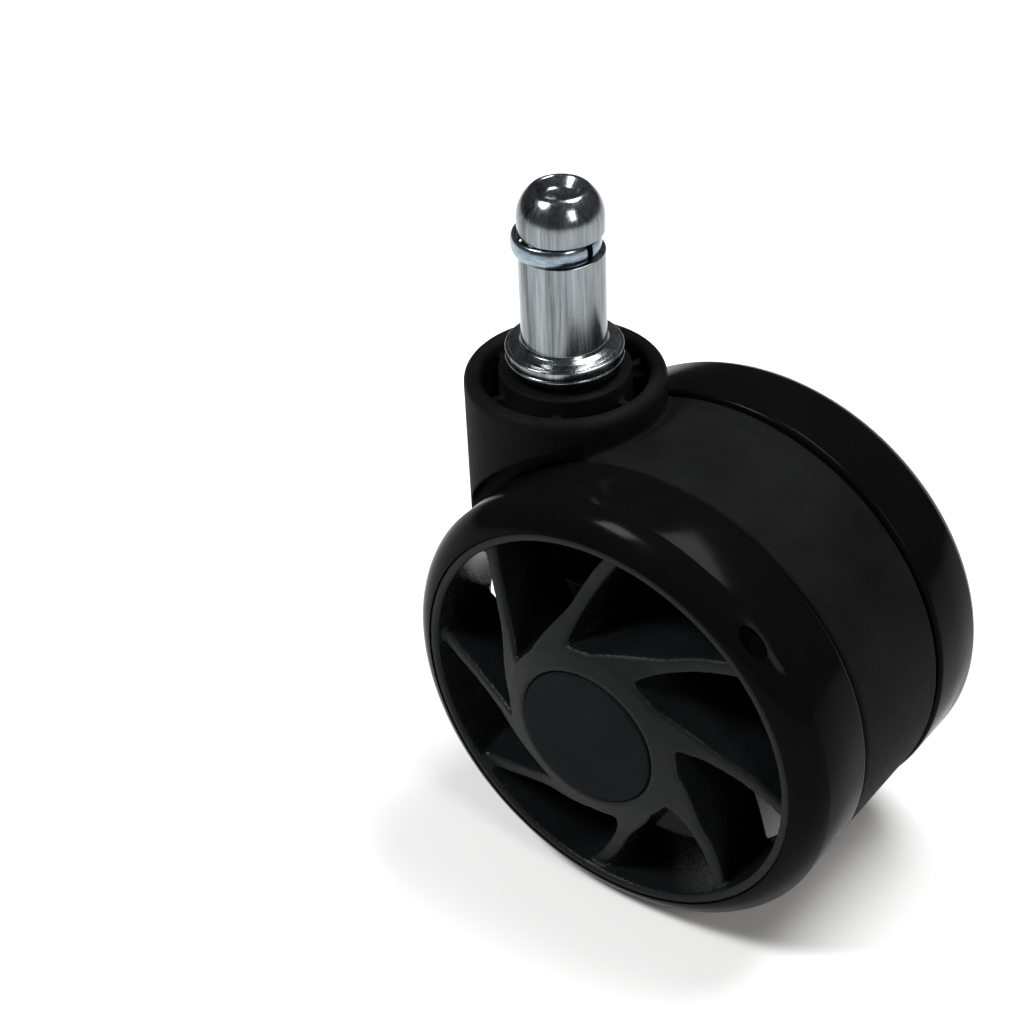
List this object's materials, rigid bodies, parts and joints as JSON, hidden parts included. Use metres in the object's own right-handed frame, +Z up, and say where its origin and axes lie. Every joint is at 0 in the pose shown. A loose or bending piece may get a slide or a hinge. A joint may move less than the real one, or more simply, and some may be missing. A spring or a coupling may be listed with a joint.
{
  "type": "swivel caster",
  "caption": "Swivel caster for an office chair: a hooded housing between coaxial bladed wheels, turning on a plug-in stem with a grip ring.",
  "frame": {"origin": "on the stem's axis, where its plain shank starts, 0.5 mm above the shoulder of the collar", "axes": "+Z up along the stem, +X from the stem towards the axle (the way the caster trails), +Y along the axle; the right wheel is on the -Y side"},
  "size_m": [0.0648, 0.0496, 0.0923],
  "materials": {
    "plated_steel": "bright zinc plating with fine drawn and turned lines",
    "spring_steel": "zinc plated spring steel, slightly blue",
    "housing_nylon": "black nylon with a fine spark-eroded grain",
    "wheel_nylon": "black nylon, grained, with a soft sheen",
    "cap_nylon": "black nylon, finely grained and matte",
    "tread_rubber": "smooth black polyurethane with a soft gloss",
    "acetal": "natural white bearing plastic"
  },
  "bodies": {
    "stem": {"stem": "plated_steel", "collar_washer": "plated_steel", "stem_snap_ring": "spring_steel"},
    "grip_ring": {"grip_ring": "spring_steel"},
    "housing": {"housing": "housing_nylon", "swivel_sleeve": "housing_nylon", "axle": "plated_steel", "thrust_washer_right": "acetal", "thrust_washer_left": "acetal", "axle_clip_right": "spring_steel", "axle_clip_left": "spring_steel"},
    "wheel_right": {"wheel_core_right": "wheel_nylon", "tread_right": "tread_rubber", "hub_cap_right": "cap_nylon", "wheel_bush_right": "acetal"},
    "wheel_left": {"wheel_core_left": "wheel_nylon", "tread_left": "tread_rubber", "hub_cap_left": "cap_nylon", "wheel_bush_left": "acetal"}
  },
  "joints": [
    {"name": "swivel", "type": "hinge", "parent": "stem", "child": "housing", "pos_m": [0, 0, 0], "axis": [0, 0, 1], "continuous": true},
    {"name": "wheel_right_spin", "type": "hinge", "parent": "housing", "child": "wheel_right", "pos_m": [0.0202, 0, -0.0394], "axis": [0, 1, 0], "continuous": true},
    {"name": "wheel_left_spin", "type": "hinge", "parent": "housing", "child": "wheel_left", "pos_m": [0.0202, 0, -0.0394], "axis": [0, 1, 0], "continuous": true},
    {"name": "grip_ring_float", "type": "slide", "parent": "stem", "child": "grip_ring", "axis": [0.775, 0.632, 0], "range_m": [0, 0.0013]}
  ]
}
